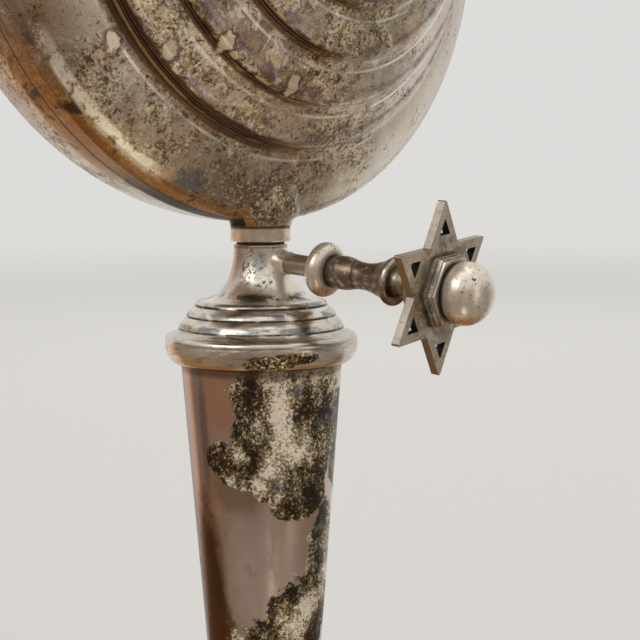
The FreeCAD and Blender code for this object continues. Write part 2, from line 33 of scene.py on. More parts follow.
# ---- places read from the frame ------------------------------------------------------------

FERRULE_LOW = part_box("ferrule")[0].z
SHELL_LOW, SHELL_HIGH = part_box("back_shell")
CURL_Z = (SHELL_LOW.z + SHELL_HIGH.z) / 2
COLUMN_LOW, COLUMN_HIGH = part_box("column_tube")
COLUMN_TOP_RADIUS = 0.0177
COLUMN_FOOT_RADIUS = 0.0104
SHOWN_SIDE = math.radians(-43.0)      # marks on the column are placed from this side
TRAVEL = next(joint for joint in frame["joints"] if joint["name"] == "thumbscrew_travel")
SCREW_AXIS = Vector(TRAVEL["axis"]).normalized()
SCREW_DROP = 0.0038                   # the screw's axis is this far below the ferrule
SCREW_START = Vector((0, 0, FERRULE_LOW - SCREW_DROP))

# ---- the camera ----------------------------------------------------------------------------


def make_camera():
    """A camera that looks up a little at the neck, turned and rolled by small angles."""
    data = bpy.data.cameras.new("camera")
    data.sensor_width = 36.0
    data.lens = 69.8
    camera = bpy.data.objects.new("camera", data)
    azimuth = math.radians(-43.06)
    yaw = math.radians(2.72)
    pitch = math.radians(6.12)
    roll = math.radians(-0.27)
    distance = 0.27165
    level = Vector((-math.sin(azimuth), math.cos(azimuth), 0))
    side = Vector((math.cos(azimuth), math.sin(azimuth), 0))
    up = Vector((0, 0, 1))
    level, side = (level * math.cos(yaw) + side * math.sin(yaw),
                   side * math.cos(yaw) - level * math.sin(yaw))
    ahead = level * math.cos(pitch) - up * math.sin(pitch)
    above = up * math.cos(pitch) + level * math.sin(pitch)
    right = side * math.cos(roll) + above * math.sin(roll)
    above = above * math.cos(roll) - side * math.sin(roll)
    spot = Vector((math.sin(azimuth) * distance, -math.cos(azimuth) * distance,
                   FERRULE_LOW + 0.0117))
    axes = Matrix((right, above, -ahead)).transposed()
    camera.matrix_world = Matrix.Translation(spot) @ axes.to_4x4()
    data.clip_start = 0.005
    data.clip_end = 100
    bpy.context.scene.collection.objects.link(camera)
    bpy.context.scene.camera = camera


make_camera()

# ---- a small painter for procedural materials ----------------------------------------------


class Graph:
    """Short calls that add nodes to a tree. Most of them return output sockets."""

    def __init__(self, tree):
        self.tree = tree

    def node(self, kind, sockets=None, **settings):
        """A shader node, with values or links for its inputs."""
        made = self.tree.nodes.new("ShaderNode" + kind)
        for key, value in settings.items():
            setattr(made, key, value)
        for key, value in (sockets or {}).items():
            self.feed(made.inputs[key], value)
        return made

    def feed(self, socket, value):
        """Links a socket to an input, or sets the input's value."""
        if isinstance(value, bpy.types.NodeSocket):
            self.tree.links.new(value, socket)
        elif value is not None:
            socket.default_value = value

    def math(self, operation, first, second=None, third=None, clamp=False):
        """One sum on numbers."""
        made = self.node("Math", operation=operation, use_clamp=clamp)
        for socket, value in zip(made.inputs, (first, second, third)):
            self.feed(socket, value)
        return made.outputs[0]

    def vector(self, operation, first, second):
        """One sum on vectors."""
        made = self.node("VectorMath", operation=operation)
        self.feed(made.inputs[0], first)
        self.feed(made.inputs[1], second)
        return made.outputs["Value" if operation == "LENGTH" else "Vector"]

    def dot(self, first, second):
        """The dot product of a vector and a fixed direction."""
        made = self.node("VectorMath", {0: first, 1: tuple(second)}, operation="DOT_PRODUCT")
        return made.outputs["Value"]

    def times(self, *values):
        """Several values multiplied together."""
        result = values[0]
        for value in values[1:]:
            result = self.math("MULTIPLY", result, value)
        return result

    def most(self, *values):
        """The largest of several masks."""
        result = values[0]
        for value in values[1:]:
            result = self.math("MAXIMUM", result, value)
        return result

    def without(self, value):
        """The opposite of a mask."""
        return self.math("SUBTRACT", 1.0, value)

    def step(self, value, low, high):
        """0 below low, 1 above high, smooth between; the other way round if low is above high."""
        return self.node("MapRange", {
            "Value": value, "From Min": low, "From Max": high},
            interpolation_type="SMOOTHSTEP").outputs[0]

    def mix(self, share, first, second):
        """A colour between two others."""
        made = self.node("Mix", data_type="RGBA")
        self.feed(made.inputs[0], share)
        for socket, value in ((made.inputs[6], first), (made.inputs[7], second)):
            self.feed(socket, (*value, 1.0) if isinstance(value, tuple) and len(value) == 3
                      else value)
        return made.outputs[2]

    def blend_number(self, share, first, second):
        """A number between two others."""
        made = self.node("Mix", data_type="FLOAT")
        self.feed(made.inputs[0], share)
        self.feed(made.inputs[2], first)
        self.feed(made.inputs[3], second)
        return made.outputs[0]


class Paint(Graph):
    """One procedural material, built in layers."""

    def __init__(self, name, colour, rough, metal=1.0):
        self.material = bpy.data.materials.new(name)
        self.material.use_nodes = True
        super().__init__(self.material.node_tree)
        self.shader = self.tree.nodes["Principled BSDF"]
        self.place = self.node("TexCoord").outputs["Object"]
        self.colour = (*colour, 1.0)
        self.rough = rough
        self.metal = metal
        self.normal = None

    def axis(self, letter):
        """A coordinate in millimetres."""
        return self.math("MULTIPLY", self.node(
            "SeparateXYZ", {0: self.place}).outputs["XYZ".index(letter)], 1000.0)

    def noise(self, size, detail=4.0, grain=0.55, twist=0.0, stretch=(1, 1, 1), shift=0.0):
        """Noise with features about size millimetres across."""
        place = self.place
        if stretch != (1, 1, 1):
            place = self.vector("MULTIPLY", place, stretch)
        if shift:
            place = self.vector("ADD", place, (shift * 0.37, shift * -0.21, shift * 0.13))
        return self.node("TexNoise", {
            "Vector": place, "Scale": 1000.0 / size, "Detail": detail,
            "Roughness": grain, "Distortion": twist}).outputs[0]

    def line_noise(self, value, size, detail=3.0):
        """Noise that runs only along one value, in millimetres."""
        return self.node("TexNoise", {
            "W": value, "Scale": 1.0 / size, "Detail": detail, "Roughness": 0.6},
            noise_dimensions="1D").outputs[0]

    def cells(self, size):
        """Distance from the middle of cells about size millimetres across."""
        return self.node("TexVoronoi", {
            "Vector": self.place, "Scale": 1000.0 / size}).outputs["Distance"]

    def patches(self, low, high, size, *detail, **rest):
        """Patches about size millimetres across, where the noise passes from low to high."""
        return self.step(self.noise(size, *detail, **rest), low, high)

    def band(self, value, centre, half, soft):
        """1 within half of the centre, fading to 0 over the soft width."""
        away = self.math("ABSOLUTE", self.math("SUBTRACT", value, centre))
        return self.step(away, half + soft, half)

    def spot(self, centre, size, ragged=0.25, edge=0.06, grain=3.0):
        """Blotch about a point in metres, size millimetres each way, with a ragged edge."""
        reach = self.vector("SUBTRACT", self.place, tuple(centre))
        reach = self.vector("MULTIPLY", reach, tuple(1000.0 / value for value in size))
        away = self.node("VectorMath", {0: reach}, operation="LENGTH").outputs["Value"]
        wander = self.math("MULTIPLY_ADD", self.noise(grain, 5.0, 0.65), ragged * 2, -ragged)
        return self.step(self.math("ADD", away, wander), 1.0 + edge, 1.0 - edge)

    def spots(self, places, size, **rest):
        """Several equal blotches."""
        return self.most(*(self.spot(place, size, **rest) for place in places))

    def cover(self, mask, colour, rough=None, metal=None, strength=1.0):
        """Lays a colour, roughness and metalness over what is there, where the mask is 1."""
        share = mask if strength == 1.0 else self.math("MULTIPLY", mask, strength)
        self.colour = self.mix(share, self.colour, colour)
        if rough is not None:
            self.rough = self.blend_number(share, self.rough, rough)
        if metal is not None:
            self.metal = self.blend_number(share, self.metal, metal)

    def raised(self, height, depth, strength=1.0):
        """Bump of the given depth in millimetres, on top of the bumps so far."""
        made = self.node("Bump", {
            "Strength": strength, "Distance": depth * MM, "Height": height})
        self.feed(made.inputs["Normal"], self.normal)
        self.normal = made.outputs[0]

    def crevice(self, reach, low, high):
        """1 in grooves and inside corners, from occlusion within reach millimetres."""
        open_share = self.node("AmbientOcclusion", {"Distance": reach * MM}, samples=6)
        return self.step(open_share.outputs["AO"], high, low)

    def done(self):
        """Joins the layers to the shader and hands over the material."""
        for key, value in (("Base Color", self.colour), ("Metallic", self.metal),
                           ("Roughness", self.rough), ("Normal", self.normal)):
            self.feed(self.shader.inputs[key], value)
        return self.material


def put(material, *names):
    """Gives CAD nodes their one material."""
    for name in names:
        slots = NODES[name].data.materials
        slots.clear()
        slots.append(material)


# ---- metal finishes ------------------------------------------------------------------------

BLACK = (0.016, 0.012, 0.009)
SOOT = (0.055, 0.038, 0.024)
UMBER = (0.13, 0.080, 0.044)
OLIVE = (0.27, 0.215, 0.135)
GOLD = (0.80, 0.55, 0.24)
COPPER = (0.78, 0.42, 0.25)
MAUVE = (0.42, 0.33, 0.30)
PURPLE = (0.28, 0.19, 0.24)
BLUE = (0.16, 0.21, 0.27)
STRAW = (0.72, 0.58, 0.30)


def worn_surface(paint, dent_depth=0.30, dent_size=14.0, polish=0.006):
    """Soft unevenness, fine scratches and grain that every old plated face has."""
    paint.raised(paint.noise(dent_size, 2.0, 0.4), dent_depth)
    paint.raised(paint.noise(0.9, 4.0, 0.7), polish)
    long_scratch = paint.noise(5.0, 6.0, 0.75, 0.4, stretch=(1, 1, 7), shift=5.0)
    paint.raised(paint.step(long_scratch, 0.60, 0.63), polish * 1.2)
    uneven = paint.math("MULTIPLY_ADD", paint.noise(7.0, 6.0, 0.6, shift=2.0), 0.22, -0.11)
    paint.rough = paint.math("ADD", paint.rough, uneven, clamp=True)


# each step of the curl, as radii in millimetres: its outer and inner edge, and the middle and
# half width of the dark line between them
CURL_STEPS = ((57.2, 54.3, 55.2, 0.95), (48.4, 45.7, 46.9, 0.35),
              (39.7, 36.8, 37.7, 0.60), (30.1, 27.2, 28.3, 0.50))
SEAM_DEPTH = -2.4       # where the shells meet, in millimetres in front of the column's axis


def curl_radius(paint):
    """Distance from the curl's axis in millimetres."""
    across = paint.axis("X")
    height = paint.math("SUBTRACT", paint.axis("Z"), CURL_Z * 1000)
    return paint.math("SQRT", paint.math(
        "ADD", paint.times(across, across), paint.times(height, height)))


def on_front(across, height, depth):
    """A point on the curl's front, in millimetres from the curl's centre."""
    return Vector((across * MM, -depth * MM, CURL_Z + height * MM))


def curl_clouds(p, across):
    """Large soft clouds of mauve, olive, brown and cream, paler towards the curl's right, with a
    painted reflection of the pale wall along its far right.
    """
    p.cover(p.patches(0.44, 0.60, 26.0, 4.0, 0.5), MAUVE, 0.24, strength=0.65)
    p.cover(p.patches(0.48, 0.62, 19.0, 6.0, 0.6, 0.5, shift=7.0), OLIVE, 0.32, strength=0.60)
    p.cover(p.patches(0.57, 0.66, 8.0, 5.0, 0.65, 0.8, shift=3.0), (0.80, 0.66, 0.48), 0.26,
            strength=0.55)
    p.cover(p.patches(0.54, 0.64, 13.0, 5.0, 0.6, 0.6, shift=51.0), (0.50, 0.33, 0.15), 0.26,
            strength=0.50)
    p.cover(p.patches(0.56, 0.66, 11.0, 5.0, 0.6, 0.6, shift=61.0), (0.24, 0.185, 0.19), 0.26,
            strength=0.50)
    p.cover(p.patches(0.57, 0.66, 9.0, 5.0, 0.6, 0.4, shift=71.0), (0.92, 0.82, 0.68), 0.26,
            0.75, strength=0.50)
    p.cover(p.step(across, 12.0, 30.0), (0.84, 0.78, 0.70), 0.24, strength=0.60)
    # painted reflection: the far right of the curl painted pale grey, standing in for the pale
    # wall it would mirror
    p.cover(p.step(across, 44.0, 62.0), (0.64, 0.60, 0.54), 0.26, strength=0.60)


def curl_treads(p, treads, radius):
    """The flats between the steps, where the plate is brightest and crusted with brown."""
    p.cover(p.times(treads, p.step(radius, 46.5, 48.5)), (0.94, 0.81, 0.65), 0.24, 0.65,
            strength=0.75)
    p.cover(p.times(treads, p.band(radius, 34.0, 3.0, 1.0)), (0.88, 0.74, 0.57), 0.24, 0.70,
            strength=0.60)
    p.cover(p.times(treads, p.patches(0.48, 0.58, 7.0, 5.0, 0.65, shift=41.0)),
            (0.40, 0.27, 0.12), 0.26, strength=0.60)
    crust = p.noise(5.0, 7.0, 0.70, 1.2, shift=21.0)
    p.cover(p.times(treads, p.step(crust, 0.510, 0.530)), (0.10, 0.06, 0.03), 0.3, strength=0.60)
    p.cover(p.times(treads, p.step(crust, 0.540, 0.560)), (0.90, 0.77, 0.60), 0.26, 0.50,
            strength=0.80)


def curl_grain(p, treads, across):
    """Fine dark, golden and pale flecks, which thin out on the smooth parts. Returns the dark."""
    smooth = p.most(p.spot(on_front(-61, -8, 3), (13, 16, 34), 0.3, 0.5),
                    p.math("MULTIPLY", p.step(across, 14.0, 40.0), 1.5))
    worn = p.patches(0.38, 0.60, 12.0, 5.0, 0.65, shift=11.0)
    bias = p.math("MULTIPLY_ADD", worn, 0.10, -0.065)
    bias = p.math("MULTIPLY_ADD", smooth, -0.065, bias)
    clump = p.math("MULTIPLY_ADD", p.noise(2.6, 4.0, 0.6, 0.6, shift=15.0), 0.4, -0.2)
    dark = p.math("ADD", p.math("ADD", p.noise(0.70, 5.0, 0.85, 0.3), clump), bias)
    golden = p.math("ADD", p.noise(0.8, 5.0, 0.8, 0.2, shift=9.0), bias)
    pale = p.math("ADD", p.math("SUBTRACT", p.noise(0.62, 5.0, 0.85, 0.3, shift=4.0), clump), bias)
    p.cover(p.step(dark, 0.50, 0.55), (0.075, 0.050, 0.028), 0.42, 0.9, strength=0.90)
    p.cover(p.step(golden, 0.55, 0.60), (0.84, 0.62, 0.33), 0.26, 0.65, strength=0.75)
    brightest = p.math("MULTIPLY_ADD", treads, 0.35, 0.60)
    p.cover(p.times(p.step(pale, 0.55, 0.60), brightest), (0.98, 0.86, 0.62), 0.24, 0.40)
    return dark


def curl_step(p, left, radius, edge, inner, middle, half):
    """One step: a purple tide inside it, dark lines on its slope, heavier on the left as a painted
    dark reflection, and painted highlights: amber and gold lines and a bright outer edge.
    """
    tide = p.times(p.band(radius, inner - 0.9, 0.7, 0.9),
                   p.patches(0.44, 0.60, 6.0, 5.0, 0.65, shift=inner))
    p.cover(tide, PURPLE, 0.24, strength=0.60)
    p.cover(p.times(p.band(radius, inner - 2.6, 0.5, 1.0), left,
                    p.patches(0.50, 0.62, 4.0, 5.0, 0.65, shift=edge)),
            STRAW, 0.26, strength=0.65)
    # the dark band and black lines on the slope are dirt in the step all round, made heavier on
    # the left as a painted dark reflection
    share = p.math("MULTIPLY_ADD", left, 0.78, 0.14)
    p.cover(p.times(p.band(radius, middle, half, 0.45), share), (0.155, 0.085, 0.040), 0.22)
    lines = p.step(p.line_noise(radius, 0.26), 0.46, 0.54)
    p.cover(p.times(p.band(radius, middle - 0.20 * half, 0.65 * half, 0.3), lines, share), BLACK,
            0.36, 0.8)
    # painted highlight: a thin amber line on the slope, on the left
    gleam = p.times(p.band(radius, middle + 0.15 * half, 0.04, 0.14), left,
                    p.patches(0.48, 0.62, 9.0, 4.0, 0.6, shift=edge + 7))
    p.cover(gleam, (0.62, 0.42, 0.20), 0.22, strength=0.7)
    # painted highlight: a thin gold line along the inner side of the dark band, on the left
    painted_gold_line = p.times(p.band(radius, middle - half - 0.1, 0.10, 0.22), left,
                   p.patches(0.48, 0.58, 5.0, 5.0, 0.65, shift=edge + 3))
    p.cover(painted_gold_line, (0.92, 0.68, 0.38), 0.20, strength=0.8)
    # painted highlight: a bright, broken line along the step's outer edge
    p.cover(p.times(p.band(radius, edge + 0.5, 0.12, 0.30),
                    p.patches(0.28, 0.68, 11.0, 3.0, 0.5, shift=inner)), (1.0, 0.96, 0.90), 0.14)


def curl_marks(p):
    """Small pale chips with dark edges, a blue blotch and the dark place over the ferrule."""
    chips = [on_front(-11.7, -43.3, 22.3), on_front(-36.6, -37.8, 15),
             on_front(-28.2, -36, 21.9), on_front(-45.8, -36.6, 9.6)]
    p.cover(p.spots(chips, (1.9, 4.6, 2.6), ragged=1.0, edge=0.15, grain=1.5), UMBER, 0.3,
            strength=0.7)
    p.cover(p.spots(chips, (1.3, 4.2, 1.9), ragged=1.0, edge=0.15, grain=1.5),
            (0.90, 0.77, 0.60), 0.24, 0.7, strength=0.85)
    p.cover(p.spot(on_front(-25.4, -62.1, 5.3), (4.5, 6, 2.6), 0.5, 0.4), BLUE, 0.2, strength=0.7)
    p.cover(p.spot(on_front(-29.5, -61.0, 4.6), (1.7, 3, 1.5), 0.5, 0.2), (0.66, 0.50, 0.33), 0.26,
            strength=0.6)
    p.cover(p.spot(on_front(16.5, -62.8, 6.8), (3.2, 5, 5.0), 0.5, 0.5), (0.86, 0.74, 0.58), 0.26,
            strength=0.6)
    # darker on the curl's underside over the ferrule, with pale flecks
    dark_over_ferrule = p.spot(on_front(-4, -65.5, 7.0), (17, 12, 7.5), 0.5, 0.6)
    p.cover(dark_over_ferrule, (0.085, 0.062, 0.040), 0.38, 0.85, strength=0.62)
    p.cover(p.times(dark_over_ferrule, p.patches(0.53, 0.58, 0.7, 5.0, 0.85, shift=31.0)),
            (0.86, 0.72, 0.48), 0.26, 0.5, strength=0.90)


def curl_rim(p, across, radius, depth):
    """The low edge: amber to the left as a painted warm reflection of the table, black at the
    bottom, a painted cream highlight and a pale back that is a painted reflection of the wall.
    """
    height = p.axis("Z")
    middle = CURL_Z * 1000
    rim = p.times(p.step(radius, 66.8, 69.0), p.step(height, middle - 30, middle - 48))
    far_left = p.step(across, -24.0, -40.0)
    back_limit = p.math("MULTIPLY_ADD", far_left, -5.0, -1.4)
    # painted reflection: amber on the front of the low left edge, standing in for the warm table
    # it would mirror, with dark patches laid in it
    amber = p.times(rim, p.step(across, 6.0, -8.0), p.step(depth, 5.2, 4.0),
                    p.step(p.math("SUBTRACT", depth, back_limit), -0.6, 0.6))
    p.cover(amber, (0.46, 0.235, 0.075), 0.22, strength=0.85)
    p.cover(p.times(amber, p.patches(0.50, 0.58, 9.0, 5.0, 0.65, 0.4, shift=2.0)), SOOT, 0.3,
            strength=0.9)
    bottom = p.step(p.math("ABSOLUTE", across), 44.0, 26.0)
    p.cover(p.times(rim, bottom, p.band(depth, 0.0, 1.9, 0.7)), BLACK, 0.50, 0.5, strength=0.95)
    # painted highlight: a cream line along the rounded low left edge
    painted_cream_highlight = p.times(p.band(radius, 68.0, 0.7, 0.7), p.band(across, -44.0, 10.0, 5.0),
                     p.step(depth, -2.0, 1.0), p.step(height, middle, middle - 20))
    p.cover(p.times(painted_cream_highlight, p.patches(0.36, 0.50, 2.5, 4.0, 0.6)), (1.0, 0.92, 0.74), 0.16,
            0.70, strength=0.9)
    # painted reflection: the back of the low edge painted pale, standing in for the pale wall it
    # would mirror
    back = p.times(rim, p.step(depth, -2.6, -3.4), p.step(depth, -15.0, -8.0))
    p.cover(p.times(back, p.without(far_left)), (0.88, 0.86, 0.82), 0.22, strength=0.60)
    seam = p.times(p.band(depth, SEAM_DEPTH, 0.10, 0.25), p.step(radius, 69.0, 70.0))
    p.cover(seam, BLACK, 0.5, 0.4, strength=0.9)


def mottled_plate(name):
    """The curl: smoky plate with mauve clouds, a fine eaten grain and dark lines at its steps."""
    p = Paint(name, (0.68, 0.58, 0.47), 0.27)
    radius = curl_radius(p)
    across = p.axis("X")
    depth = p.math("MULTIPLY", p.axis("Y"), -1.0)
    left = p.step(across, 4.0, -14.0)
    treads = p.times(left, p.step(radius, 55.0, 53.0), p.step(depth, 4.0, 8.0))
    curl_clouds(p, across)
    curl_treads(p, treads, radius)
    dark = curl_grain(p, treads, across)
    for edge, inner, middle, half in CURL_STEPS:
        curl_step(p, left, radius, edge, inner, middle, half)
    curl_marks(p)
    curl_rim(p, across, radius, depth)
    worn_surface(p)
    p.raised(p.line_noise(radius, 0.9, 2.0), 0.01, 0.5)
    p.raised(dark, 0.05)
    return p.done()


def column_point(degrees, height):
    """A point on the column's face, from the side that shows, height in millimetres."""
    share = (height * MM - COLUMN_LOW.z) / (COLUMN_HIGH.z - COLUMN_LOW.z)
    taper = COLUMN_TOP_RADIUS - COLUMN_FOOT_RADIUS
    radius = COLUMN_FOOT_RADIUS + taper * min(max(share, 0.0), 1.0)
    angle = SHOWN_SIDE + math.radians(degrees)
    return Vector((math.sin(angle) * radius, -math.cos(angle) * radius, height * MM))


def column_stains(p):
    """The smooth plate: cloudy, dull and darker at its left edge as painted shade, rusty at the
    top and dark low down.
    """
    p.cover(p.patches(0.40, 0.62, 24.0, 3.0, 0.5, stretch=(1, 1, 0.6)), (0.52, 0.405, 0.36),
            0.18, strength=0.8)
    p.cover(p.spot(column_point(2, 128), (8, 8, 15), 0.4, 0.5), (0.74, 0.63, 0.59), 0.24, 0.85,
            strength=0.65)
    p.cover(p.patches(0.50, 0.64, 6.0, 6.0, 0.65, 0.6, shift=81.0, stretch=(1, 1, 0.5)),
            (0.74, 0.60, 0.53), 0.25, strength=0.40)
    p.cover(p.patches(0.54, 0.66, 5.0, 6.0, 0.65, 0.6, shift=91.0, stretch=(1, 1, 0.4)),
            (0.38, 0.28, 0.24), 0.22, strength=0.35)
    # painted shade: a dark, rougher strip down the column's left edge dims the reflection it
    # catches there
    p.cover(p.spot(column_point(-84, 140), (4.5, 4.5, 70), 0.1, 0.5), (0.34, 0.29, 0.24), 0.45,
            strength=0.85)
    p.cover(p.spot(column_point(-58, 158), (5, 5, 22), 0.3, 0.5), (0.42, 0.34, 0.36), 0.2,
            strength=0.7)
    p.cover(p.spot(column_point(-30, 168), (5, 5, 8), 0.3, 0.5), (0.62, 0.37, 0.24), 0.2,
            strength=0.75)
    p.cover(p.spot(column_point(-48, 160), (1.2, 1.2, 20), 0.2, 0.5), (0.20, 0.13, 0.11), 0.24,
            strength=0.6)
    p.cover(p.spot(column_point(-18, 149), (6, 6, 6), 0.4, 0.3), (0.36, 0.26, 0.16), 0.24,
            strength=0.7)
    p.cover(p.spot(column_point(-56, 122), (4.8, 4.8, 24), 0.3, 0.3), (0.10, 0.065, 0.042), 0.26,
            strength=0.95)
    p.cover(p.spot(column_point(-44, 108), (5.5, 5.5, 13), 0.6, 0.15), (0.155, 0.085, 0.045), 0.26,
            strength=0.85)


def column_eaten(p):
    """Where the plate is eaten: a large patch near the top, two low down, more round the back."""
    patch = p.most(
        p.spot(column_point(22, 169), (13.0, 13.0, 12), 0.30, 0.02, 5.0),
        p.spot(column_point(20, 157), (12.5, 12.5, 12), 0.30, 0.02, 5.0),
        p.spot(column_point(-24, 155.0), (7.0, 7.0, 3.8), 0.40, 0.03),
        p.spot(column_point(-10, 151.5), (7.0, 7.0, 3.6), 0.40, 0.03),
        p.spot(column_point(30, 148), (8.0, 8.0, 7), 0.35, 0.03),
        p.spot(column_point(62, 128), (6.0, 6.0, 16), 0.35, 0.03))
    lower = p.most(
        p.spot(column_point(38, 118), (9, 9, 10), 0.5, 0.06),
        p.spot(column_point(-4, 106), (9, 9, 12), 0.5, 0.06))
    elsewhere = p.times(
        p.patches(0.52, 0.54, 30.0, 5.0, 0.6, 0.6, shift=9.0),
        p.without(p.spot(column_point(0, 140), (17, 17, 46), 0.0, 0.05)))
    return p.most(patch, lower, elsewhere)


def column_flecks(p, eaten):
    """Black, pale and golden flecks over a brown ground. Returns their height for the bump."""
    clump = p.noise(8.0, 4.0, 0.6, shift=2.0, stretch=(1, 1, 0.7))
    dim = p.most(p.spot(column_point(66, 160), (8, 8, 34), 0.3, 0.4),
                 p.spot(column_point(-16, 172), (6, 6, 10), 0.4, 0.4))
    light = p.times(p.step(clump, 0.42, 0.58), p.math("MULTIPLY_ADD", dim, -0.7, 1.0))
    p.cover(eaten, p.mix(light, (0.15, 0.105, 0.050), (0.52, 0.43, 0.30)), 0.24)
    p.cover(p.times(eaten, dim), (0.085, 0.080, 0.060), 0.22, strength=0.70)
    density = p.math("MULTIPLY_ADD", clump, -0.75, 0.375)
    bite = p.math("ADD", p.noise(0.72, 6.0, 0.82, 0.3, shift=6.0), density)
    flake = p.math("SUBTRACT", p.noise(0.62, 5.0, 0.85, 0.3, shift=1.0), density)
    p.cover(p.times(eaten, p.step(bite, 0.485, 0.525)), (0.030, 0.022, 0.015), 0.40, 0.85,
            strength=0.95)
    p.cover(p.times(eaten, p.step(flake, 0.535, 0.570)),
            p.mix(light, (0.76, 0.60, 0.33), (1.0, 0.93, 0.78)), 0.20, 0.50, strength=0.95)
    p.cover(p.times(eaten, p.patches(0.59, 0.63, 1.2, 5.0, 0.75, 0.2, shift=8.0)), GOLD, 0.2,
            0.8, strength=0.9)
    p.cover(p.times(eaten, p.patches(0.60, 0.68, 5.0, 3.0, 0.5, shift=17.0)), BLUE, 0.2,
            strength=0.40)
    return p.times(eaten, p.math("ADD", bite, flake))


def speckled_plate(name):
    """The column: smooth mauve-grey plate, with large sharp-edged patches eaten to speckle."""
    p = Paint(name, (0.63, 0.52, 0.475), 0.20)
    column_stains(p)
    eaten = column_eaten(p)
    flecks = column_flecks(p, eaten)
    p.cover(p.band(p.axis("Z"), COLUMN_HIGH.z * 1000, 0.9, 1.4), UMBER, 0.3, strength=0.7)
    p.raised(p.noise(20.0, 2.0, 0.4), 0.22)
    p.raised(flecks, 0.04)
    p.raised(eaten, -0.02)
    p.raised(p.noise(0.8, 3.0, 0.6), 0.003)
    uneven = p.math("MULTIPLY_ADD", p.noise(6.0, 5.0, 0.6, shift=2.0), 0.16, -0.08)
    p.rough = p.math("ADD", p.rough, uneven, clamp=True)
    return p.done()


def collar_point(degrees, height, radius):
    """A point from the side that shows, height and radius in millimetres."""
    angle = SHOWN_SIDE + math.radians(degrees)
    return Vector((math.sin(angle) * radius * MM, -math.cos(angle) * radius * MM, height * MM))


COLLAR_GROOVES = (13.7, 16.0, 18.7)     # millimetres below the ferrule


def bright_plate(name):
    """The shoulder collar: bright plate, grey-blue in its grooves, with one eaten patch."""
    p = Paint(name, (0.82, 0.77, 0.70), 0.22)
    top = FERRULE_LOW * 1000
    p.cover(p.patches(0.42, 0.62, 14.0, 4.0, 0.55, stretch=(1, 1, 2)), (0.58, 0.50, 0.44), 0.24,
            strength=0.7)
    tide = p.noise(4.5, 5.0, 0.70, 0.3, stretch=(1, 1, 5), shift=4.0)
    p.cover(p.step(tide, 0.51, 0.60), (0.30, 0.32, 0.34), 0.24, strength=0.50)
    height = p.axis("Z")
    ragged = p.patches(0.36, 0.50, 4.0, 5.0, 0.65, stretch=(1, 1, 2), shift=8.0)
    for groove in COLLAR_GROOVES:
        p.cover(p.times(p.band(height, top - groove, 0.10, 0.30), ragged), SOOT, 0.35, 0.8,
                strength=0.85)
        p.cover(p.times(p.band(height, top - groove + 0.75, 0.30, 0.40),
                        p.patches(0.46, 0.58, 6.0, 5.0, 0.65, stretch=(1, 1, 2), shift=groove)),
                (0.15, 0.17, 0.19), 0.22, strength=0.75)
    p.cover(p.band(height, top - 25.5, 0.22, 0.35), COPPER, 0.22, strength=0.55)
    p.cover(p.band(height, top - 26.2, 0.25, 0.3), SOOT, 0.4, strength=0.9)
    eaten = p.most(
        p.spot(collar_point(4, 175.6, 20.8), (5.5, 5.5, 1.7), 0.35, 0.05, 2.0),
        p.spot(collar_point(20, 176.6, 21.0), (5.5, 5.5, 1.3), 0.45, 0.05, 2.0),
        p.spot(collar_point(150, 176.6, 21.0), (9, 9, 1.8), 0.45, 0.05, 2.0))
    p.cover(eaten, (0.40, 0.29, 0.14), 0.3)
    p.cover(p.times(eaten, p.patches(0.46, 0.51, 0.9, 5.0, 0.75, shift=3.0)), BLACK, 0.4, 0.8,
            strength=0.95)
    p.cover(p.times(eaten, p.patches(0.56, 0.60, 0.8, 4.0, 0.75, shift=5.0)),
            (0.90, 0.76, 0.50), 0.2, 0.7)
    specks = p.times(p.patches(0.65, 0.69, 0.8, 3.0, 0.7, shift=31.0),
                     p.patches(0.46, 0.58, 9.0, 2.0, 0.5, shift=30.0))
    p.cover(specks, SOOT, 0.4, 0.8, strength=0.9)
    worn_surface(p, 0.12, 9.0)
    return p.done()


